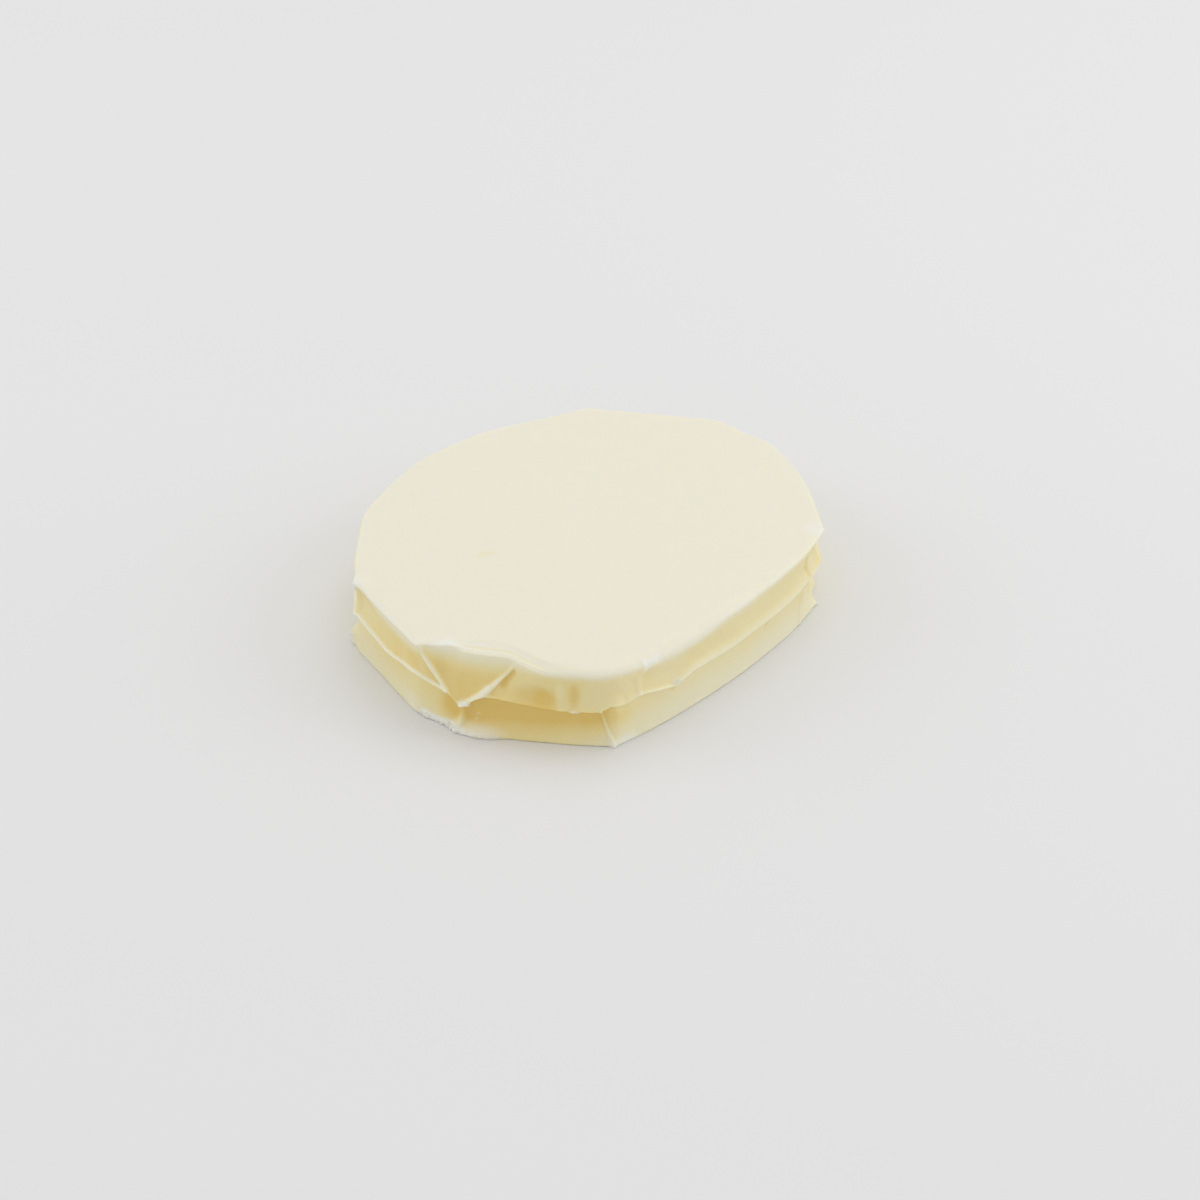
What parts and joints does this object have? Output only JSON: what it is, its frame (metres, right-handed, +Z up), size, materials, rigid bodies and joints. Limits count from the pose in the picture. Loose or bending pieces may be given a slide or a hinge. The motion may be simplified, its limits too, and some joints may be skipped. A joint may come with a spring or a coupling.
{
  "type": "provolone cheese slab",
  "caption": "Flat oval slab of mild cheese with blunt corners, pressed by a tight film that left a raised seam and pleats round its wall.",
  "frame": {"origin": "middle of the flat underside that the slab rests on", "axes": "+Z up through the thickness, +X along the longest side of the oval"},
  "size_m": [0.138, 0.1141, 0.022],
  "materials": {
    "paste": "smooth pale cream cheese, a little moist and glossy, yellower in its hollows and on its wall"
  },
  "bodies": {
    "root": {"cheese": "paste"}
  },
  "joints": []
}
